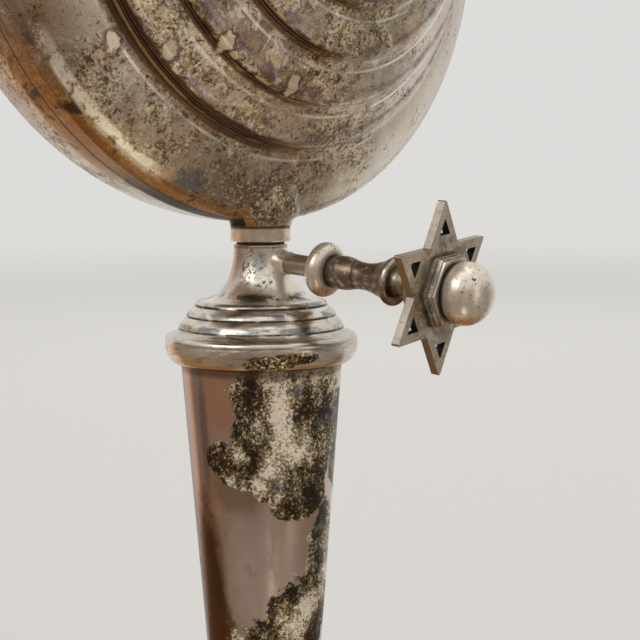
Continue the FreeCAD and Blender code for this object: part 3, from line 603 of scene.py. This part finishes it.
def neck_plate(name):
    """The neck: pale plate with a greenish cast, dark specks and a long drip of residue."""
    p = Paint(name, (0.92, 0.88, 0.79), 0.30)
    top = FERRULE_LOW * 1000
    p.cover(p.patches(0.45, 0.60, 9.0, 4.0, 0.55, 0.4), (0.74, 0.68, 0.59), 0.32, strength=0.6)
    p.cover(p.patches(0.58, 0.66, 5.0, 4.0, 0.55, 0.7, shift=3.0), (0.80, 0.78, 0.64), 0.30,
            0.85, strength=0.5)
    p.cover(p.spot(collar_point(20, top - 9.0, 8.0), (3.2, 3.2, 4.5), 0.4, 0.5),
            (0.97, 0.93, 0.84), 0.28, 0.75, strength=0.8)
    p.cover(p.spot(collar_point(-62, top - 7.0, 7.0), (4.0, 4.0, 9.0), 0.3, 0.4),
            (0.50, 0.41, 0.37), 0.28, strength=0.7)
    speck_zone = p.most(
        p.spot(collar_point(-24, top - 5.5, 6.6), (1.9, 1.9, 4.4), 0.4, 0.4),
        p.spot(collar_point(-4, top - 4.0, 6.2), (1.5, 1.5, 2.4), 0.4, 0.4),
        p.spot(collar_point(160, top - 6.0, 6.6), (5, 5, 4), 0.4, 0.4),
        p.patches(0.64, 0.70, 12.0, 2.0, 0.5, shift=19.0))
    p.cover(p.times(speck_zone, p.patches(0.52, 0.56, 0.8, 5.0, 0.75, 0.2)), SOOT, 0.4, 0.85,
            strength=0.95)
    p.cover(p.spot(collar_point(-4, top - 3.6, 6.2), (1.6, 1.6, 2.2), 0.5, 0.3),
            (0.42, 0.46, 0.47), 0.3, strength=0.6)
    p.cover(p.times(p.band(p.axis("Z"), top - 11.7, 0.3, 0.9),
                    p.patches(0.47, 0.55, 5.0, 5.0, 0.65, shift=8.0)),
            (0.075, 0.085, 0.10), 0.25, strength=0.85)
    p.cover(p.spot(collar_point(30, top - 9.8, 8.6), (1.5, 1.5, 4.2), 0.4, 0.3),
            (0.88, 0.86, 0.74), 0.3, strength=0.8)
    p.cover(p.spot(collar_point(38, top - 5.2, 6.4), (1.2, 1.2, 4.0), 0.3, 0.3),
            (0.90, 0.88, 0.76), 0.3, 0.8, strength=0.7)
    p.cover(p.band(p.axis("Z"), top - 0.9, 0.25, 0.4), (0.12, 0.10, 0.08), 0.3, strength=0.6)
    worn_surface(p, 0.15, 6.0)
    return p.done()


def ferrule_plate(name):
    """The ferrule: pale plate with a painted coppery highlight down its left side."""
    p = Paint(name, (0.86, 0.77, 0.62), 0.32)
    top = FERRULE_LOW * 1000
    p.cover(p.patches(0.45, 0.62, 4.0, 5.0, 0.6, 0.3), (0.64, 0.54, 0.44), 0.38, strength=0.7)
    # painted highlight: a bright coppery patch down the ferrule's left side
    p.cover(p.spot(collar_point(-56, top + 2.0, 6.5), (1.5, 1.5, 5.0), 0.2, 0.4),
            (1.0, 0.74, 0.50), 0.26, 0.2, strength=0.95)
    p.cover(p.patches(0.60, 0.66, 0.8, 4.0, 0.7, shift=2.0), (0.24, 0.18, 0.12), 0.4, 0.9,
            strength=0.8)
    p.cover(p.band(p.axis("Z"), top + 3.3, 0.25, 0.5), SOOT, 0.4, strength=0.9)
    worn_surface(p, 0.12, 5.0)
    return p.done()


def screw_point(along, outward=0.0, degrees=0.0):
    """A point on or about the thumbscrew's axis, in millimetres along it from the column."""
    side = SCREW_AXIS.cross(Vector((0, 0, 1))).normalized()
    rise = side.cross(SCREW_AXIS)
    angle = math.radians(degrees)
    spoke = rise * math.cos(angle) + side * math.sin(angle)
    return SCREW_START + SCREW_AXIS * (along * MM) + spoke * (outward * MM)


# places along the thumbscrew, in millimetres from the column's axis
FRONT_BEAD = 18.0
BARREL = 26.5
REAR_BEAD = 35.4
STAR = 46.0
BALL = 52.6
HOLES_OUT = 11.75       # the star's six holes, from its middle
STAR_ROLL = 5.5         # degrees


def pewter_plate(name):
    """The thumbscrew: dull brown-grey plate, residue in its corners, edges rubbed pale, and orange
    painted under the bead and ball as a reflection of the table.
    """
    p = Paint(name, (0.50, 0.43, 0.35), 0.34)
    reach = p.vector("SUBTRACT", p.place, tuple(SCREW_START))
    along = p.math("MULTIPLY", p.dot(reach, SCREW_AXIS), 1000.0)
    p.cover(p.patches(0.45, 0.62, 6.0, 5.0, 0.6, 0.4), (0.36, 0.295, 0.23), 0.38, strength=0.7)
    p.cover(p.patches(0.56, 0.66, 3.5, 5.0, 0.65, 0.6, shift=6.0), (0.68, 0.61, 0.52), 0.30,
            strength=0.6)
    p.cover(p.band(along, BARREL, 5.5, 0.8), (0.24, 0.19, 0.145), 0.30, strength=0.85)
    grimy = p.most(p.band(along, BARREL + 3.5, 10.5, 1.5),
                   p.spot(screw_point(FRONT_BEAD, 6.5, 150), (5, 5, 4), 0.4, 0.4))
    p.cover(p.times(grimy, p.patches(0.48, 0.58, 2.4, 6.0, 0.75, 0.6, shift=14.0)),
            (0.20, 0.14, 0.095), 0.42, strength=0.60)
    p.cover(p.times(grimy, p.patches(0.54, 0.62, 1.7, 5.0, 0.75, 0.4, shift=24.0)),
            (0.78, 0.67, 0.52), 0.30, 0.75, strength=0.60)
    p.cover(p.spot(screw_point(REAR_BEAD, 4.6, 165), (4.2, 4.2, 4.2), 0.5, 0.3),
            (0.17, 0.075, 0.032), 0.28, strength=0.90)
    pale = p.most(p.band(along, FRONT_BEAD, 1.6, 0.6), p.band(along, BALL, 4.6, 0.8))
    p.cover(pale, (0.92, 0.85, 0.75), 0.28, 0.80, strength=0.75)
    # painted reflection: orange under the front bead and the ball, standing in for the warm table
    # below, with dark flecks in it
    undersides = [screw_point(FRONT_BEAD, 7.0, 180), screw_point(BALL - 0.6, 7.5, 180)]
    warm_underside_reflection = p.times(pale, p.spots(undersides, (5.5, 5.5, 4.5), ragged=0.5, edge=0.4))
    p.cover(warm_underside_reflection, (0.62, 0.34, 0.11), 0.30, strength=0.90)
    p.cover(p.times(warm_underside_reflection, p.patches(0.52, 0.58, 1.0, 5.0, 0.8, shift=44.0)), SOOT, 0.4, 0.8,
            strength=0.85)
    p.cover(p.band(along, STAR, 1.4, 0.5), (0.70, 0.60, 0.46), 0.30, strength=0.45)
    residue = p.times(p.band(along, STAR + 0.9, 1.6, 0.8),
                      p.spot(screw_point(STAR + 1.0), (11.5, 11.5, 11.5), 0.2, 0.3),
                      p.patches(0.44, 0.54, 2.6, 5.0, 0.7, 0.6, shift=33.0))
    p.cover(residue, (0.14, 0.135, 0.115), 0.42, 0.85, strength=0.7)
    p.cover(p.patches(0.56, 0.63, 0.8, 5.0, 0.8, shift=4.0), (0.17, 0.12, 0.08), 0.45, 0.85,
            strength=0.70)
    pit = p.times(p.patches(0.66, 0.69, 1.2, 3.0, 0.6, shift=12.0),
                  p.patches(0.46, 0.56, 7.0, 2.0, 0.5, shift=27.0))
    p.cover(pit, SOOT, 0.5, 0.7, strength=0.9)
    p.cover(p.crevice(1.7, 0.40, 0.86), (0.050, 0.042, 0.038), 0.5, 0.75, strength=0.95)
    places = [screw_point(STAR + 0.05, HOLES_OUT, STAR_ROLL + 60 * i) for i in range(6)]
    holes = p.spots(places, (2.65, 2.65, 2.65), ragged=0.0, edge=0.02)
    facing = p.dot(p.node("TexCoord").outputs["Normal"], SCREW_AXIS)
    sideways = p.step(p.math("ABSOLUTE", facing), 0.5, 0.3)
    edges = p.times(sideways, p.band(along, STAR + 0.05, 0.85, 0.1))
    p.cover(edges, (0.33, 0.31, 0.30), 0.36, strength=0.60)
    p.cover(p.times(holes, sideways), (0.012, 0.014, 0.018), 0.6, 0.3)
    worn_surface(p, 0.12, 5.0, 0.012)
    p.raised(pit, -0.06)
    return p.done()


def silver_plate(name):
    """Old silver plate on the parts away from the curl's face."""
    p = Paint(name, (0.68, 0.60, 0.50), 0.20)
    p.cover(p.patches(0.44, 0.60, 24.0, 5.0, 0.55, 0.5), (0.48, 0.385, 0.32), 0.20,
            strength=0.75)
    p.cover(p.patches(0.50, 0.64, 15.0, 6.0, 0.6, 0.4, shift=9.0), OLIVE, 0.30,
            strength=0.65)
    worn = p.patches(0.50, 0.62, 18.0, 5.0, 0.6, shift=13.0)
    p.cover(p.times(worn, p.patches(0.53, 0.60, 1.4, 5.0, 0.75, 0.3, shift=2.0)),
            (0.16, 0.115, 0.07), 0.42, 0.9, strength=0.85)
    p.cover(p.times(worn, p.patches(0.57, 0.63, 1.2, 4.0, 0.7, shift=5.0)),
            (0.84, 0.72, 0.54), 0.24, strength=0.8)
    p.cover(p.crevice(3.0, 0.30, 0.75), UMBER, 0.4, 0.85, strength=0.8)
    worn_surface(p)
    return p.done()


def dark_bore(name):
    """Inside faces of the air way: brass gone brown."""
    p = Paint(name, (0.50, 0.36, 0.18), 0.34)
    p.cover(p.patches(0.42, 0.62, 9.0, 5.0, 0.6), (0.26, 0.17, 0.09), 0.45, 0.9, strength=0.8)
    p.cover(p.patches(0.58, 0.66, 1.5, 4.0, 0.7, shift=3.0), SOOT, 0.5, 0.8, strength=0.7)
    worn_surface(p)
    return p.done()


def steel(name):
    """Dulled steel with a few rust freckles."""
    p = Paint(name, (0.62, 0.62, 0.62), 0.3)
    p.cover(p.patches(0.50, 0.66, 8.0, 5.0, 0.6), (0.40, 0.37, 0.34), 0.4, strength=0.7)
    p.cover(p.patches(0.62, 0.68, 3.0, 5.0, 0.7, shift=5.0), (0.24, 0.12, 0.06), 0.6, 0.5,
            strength=0.8)
    worn_surface(p, 0.06, 5.0, 0.01)
    return p.done()


def cast_iron(name):
    """Rough dark casting."""
    p = Paint(name, (0.10, 0.10, 0.105), 0.6, 0.7)
    p.cover(p.patches(0.50, 0.66, 4.0, 5.0, 0.6), (0.16, 0.11, 0.08), 0.7, 0.4)
    p.raised(p.noise(1.2, 4.0, 0.7), 0.12)
    return p.done()


def baize(name):
    """Felt with short crossed fibres, slightly faded and dusty in lighter patches and specks."""
    p = Paint(name, (0.030, 0.115, 0.055), 0.92, 0.0)
    p.cover(p.patches(0.40, 0.65, 18.0, 4.0, 0.6), (0.045, 0.15, 0.075), strength=0.8)
    p.cover(p.patches(0.55, 0.65, 0.7, 4.0, 0.8, shift=2.0), (0.085, 0.20, 0.11), strength=0.7)
    fibre = p.noise(0.5, 4.0, 0.8, 1.5, stretch=(1, 1, 3))
    p.raised(fibre, 0.12)
    p.shader.inputs["Sheen Weight"].default_value = 0.4
    p.shader.inputs["Sheen Roughness"].default_value = 0.6
    return p.done()


def leather(name):
    """Black leather with a fine pebble."""
    p = Paint(name, (0.028, 0.018, 0.012), 0.62, 0.0)
    p.cover(p.patches(0.50, 0.65, 1.5, 4.0, 0.6), (0.06, 0.038, 0.022), 0.7, strength=0.8)
    p.raised(p.cells(0.5), 0.05)
    return p.done()


CURL = mottled_plate("curl_patina")
PLATE = silver_plate("aged_silver_plate")
BORE = dark_bore("dark_brass_bore")
STEEL = steel("dulled_steel")
PEWTER = pewter_plate("thumbscrew_plate")

put(CURL, "front_shell", "back_shell", "saddle")
put(speckled_plate("speckled_column_plate"), "column_tube")
put(bright_plate("bright_collar_plate"), "shoulder_collar")
put(neck_plate("pale_neck_plate"), "neck", "screw_boss")
put(ferrule_plate("pinkish_ferrule_plate"), "ferrule")
put(PEWTER, "spindle", "star_plate", "hex_boss", "ball_finial")
put(PLATE, "foot_shell", "column_knop", "bell_flare", "bell_rim", "bell_band",
    "mouthpipe", "mouthpiece")
put(BORE, "clamp_shoe", "socket_bush", "stem", "sound_tube", "seam_ring", "bell_throat")
put(STEEL, "tie_rod", "rod_nut", "rod_washer", "base_plate")
put(cast_iron("cast_weight_iron"), "foot_weight")
put(baize("green_baize_felt"), "baize_pad")
put(leather("dark_seat_leather"), "seat_washer")


# ---- softened edges on the cast and filed parts ----------------------------------------------


def soften(name, width):
    """Rounds a node's sharp edges by a width in millimetres."""
    bevel = NODES[name].modifiers.new("soft_edges", "BEVEL")
    bevel.width = width * MM
    bevel.segments = 2
    bevel.limit_method = "ANGLE"
    bevel.angle_limit = math.radians(35)


soften("star_plate", 0.2)
soften("hex_boss", 0.12)

# ---- the stage -------------------------------------------------------------------------------

TO_FRONT = Vector((math.sin(SHOWN_SIDE), -math.cos(SHOWN_SIDE), 0))
TO_RIGHT = Vector((math.cos(SHOWN_SIDE), math.sin(SHOWN_SIDE), 0))


class Stage(Paint):
    """The painter again, for what stands round the object."""

    def along(self, direction):
        """How far a place is along a direction, in millimetres."""
        return self.math("MULTIPLY", self.dot(self.place, direction), 1000.0)

    def glow(self, colour, strength=1.0):
        """Light of its own."""
        self.feed(self.shader.inputs["Emission Color"], colour)
        self.feed(self.shader.inputs["Emission Strength"], strength)


def flat_piece(name, points, height, material):
    """A level sheet of the stage, through points in metres."""
    mesh = bpy.data.meshes.new(name)
    mesh.from_pydata([(x, y, height) for x, y in points], [], [tuple(range(len(points)))])
    mesh.materials.append(material)
    made = bpy.data.objects.new(name, mesh)
    bpy.context.scene.collection.objects.link(made)
    return made


def floor():
    """Plain pale floor, with a little light of its own that evens it out into the distance."""
    p = Stage("floor", (0.50, 0.495, 0.485), 0.9, 0.0)
    p.shader.inputs["Specular IOR Level"].default_value = 0.05
    away = p.vector("LENGTH", p.place, (0, 0, 0))
    p.glow((0.95, 0.985, 1.01, 1.0), p.blend_number(p.step(away, 0.6, 5.0), 0.12, 0.28))
    p.done()
    ring = [(30 * math.cos(math.pi * i / 48), 30 * math.sin(math.pi * i / 48)) for i in range(96)]
    made = flat_piece("floor", ring, -0.0002, p.material)
    made.visible_glossy = False


def bounce_card():
    """A glowing card that only reflections see, standing in for a table top: warm wood-toned light
    behind the object, dim brown light before it, and a bright patch.
    """
    p = Stage("warm_bounce_card", (0.0, 0.0, 0.0), 1.0, 0.0)
    p.shader.inputs["Specular IOR Level"].default_value = 0.0
    front = p.along(TO_FRONT)
    right = p.along(TO_RIGHT)
    grain = p.noise(60.0, 4.0, 0.6, stretch=(3, 1, 1))
    wood = p.mix(grain, (0.36, 0.21, 0.10), (0.24, 0.13, 0.055))
    aside = p.most(p.step(front, 40.0, 110.0), p.step(right, 110.0, 190.0))
    shade = p.mix(aside, wood, (0.27, 0.215, 0.165))
    bright = p.vector("LENGTH", p.node("CombineXYZ", {
        0: p.math("MULTIPLY_ADD", front, 1 / 85.0, -155 / 85.0),
        1: p.math("MULTIPLY_ADD", right, 1 / 26.0, -52 / 26.0)}).outputs[0], (0, 0, 0))
    p.glow(p.mix(p.step(bright, 1.1, 0.7), shade, (1.7, 1.55, 1.2)))
    p.done()
    corners = []
    for forward, sideways in ((-0.21, -0.45), (-0.21, 0.6), (0.26, 0.6), (0.26, -0.45)):
        spot = TO_FRONT * forward + TO_RIGHT * sideways
        corners.append((spot.x, spot.y))
    card = flat_piece("warm_bounce_card", corners, 0.0, p.material)
    card.visible_camera = False
    card.visible_shadow = False
    card.visible_diffuse = False
    card.visible_transmission = False


floor()
bounce_card()


def soft_light(name, place, aim, size, power, colour=(1, 1, 1), mirrored=False):
    """A square soft light. Only a mirrored one is seen in reflections."""
    data = bpy.data.lights.new(name, "AREA")
    data.size = size
    data.energy = power
    data.color = colour
    made = bpy.data.objects.new(name, data)
    made.location = place
    made.rotation_euler = (Vector(aim) - Vector(place)).to_track_quat("-Z", "Y").to_euler()
    made.visible_camera = False
    made.visible_glossy = mirrored
    bpy.context.scene.collection.objects.link(made)


def round_column(degrees, distance, height):
    """A place for a light, at an angle to the right of the side that shows."""
    angle = SHOWN_SIDE + math.radians(degrees)
    return (math.sin(angle) * distance, -math.cos(angle) * distance, height)


CENTRE = (0, 0, 0.22)
soft_light("key", round_column(-50, 1.6, 1.5), CENTRE, 1.1, 9.0, (1.0, 0.97, 0.93), True)
soft_light("fill", round_column(35, 1.5, 1.6), CENTRE, 0.7, 6.0, (1.0, 0.98, 0.95))
soft_light("back", round_column(170, 1.6, 1.3), CENTRE, 1.0, 5.0)


# colours round the room at eye level, by degrees to the right of the side that shows
WALL = (0.72, 0.70, 0.665)
BROWN = (0.33, 0.26, 0.205)
DUSK = (0.265, 0.21, 0.168)
STRIP = (1.0, 0.58, 0.34)
WINDOW = (0.95, 0.90, 0.82)
ROUND_THE_ROOM = (
    (-180, WALL), (-139, WALL), (-136, STRIP), (-129, STRIP), (-124, DUSK), (-70, BROWN),
    (-40, BROWN), (-10, DUSK), (0, BROWN), (8, (0.46, 0.34, 0.27)), (17, DUSK), (38, DUSK),
    (45, WINDOW), (57, WINDOW), (64, DUSK), (92, (0.25, 0.225, 0.20)),
    (104, (0.34, 0.31, 0.28)), (122, WALL), (180, WALL))


def room():
    """Soft room light: pale walls behind, a dimmer brown room in front, a lighter ceiling."""
    world = bpy.data.worlds.new("room")
    bpy.context.scene.world = world
    world.use_nodes = True
    world.node_tree.nodes.clear()
    g = Graph(world.node_tree)
    place = g.node("TexCoord").outputs["Generated"]
    front = g.dot(place, TO_FRONT)
    up = g.node("SeparateXYZ", {0: place}).outputs[2]
    angle = g.math("ARCTAN2", g.dot(place, TO_RIGHT), front)
    ramp = g.node("ValToRGB", {0: g.node("MapRange", {
        "Value": angle, "From Min": -math.pi, "From Max": math.pi}).outputs[0]})
    stops = ramp.color_ramp.elements
    while len(stops) < len(ROUND_THE_ROOM):
        stops.new(0.5)
    for stop, (degrees, colour) in zip(stops, ROUND_THE_ROOM):
        stop.position = (degrees + 180) / 360
        stop.color = (*colour, 1.0)
    lit = g.mix(g.step(up, 0.10, 0.55), ramp.outputs[0], (0.80, 0.775, 0.735))
    lit = g.mix(g.step(up, 0.88, 0.96), lit, (1.7, 1.66, 1.55))
    before = g.node("MapRange", {
        "Value": front, "From Min": -0.2, "From Max": 0.3}).outputs[0]
    sunk = g.times(before, g.step(up, -0.15, -0.75))
    lit = g.mix(sunk, lit, (0.16, 0.125, 0.10))
    pick = g.node("MixShader", {
        0: g.node("LightPath").outputs["Is Camera Ray"],
        1: g.node("Background", {"Color": lit}).outputs[0],
        2: g.node("Background", {"Color": (0.72, 0.715, 0.70, 1.0)}).outputs[0]})
    g.node("OutputWorld", {0: pick.outputs[0]})


room()
bpy.context.scene.view_settings.view_transform = "Standard"
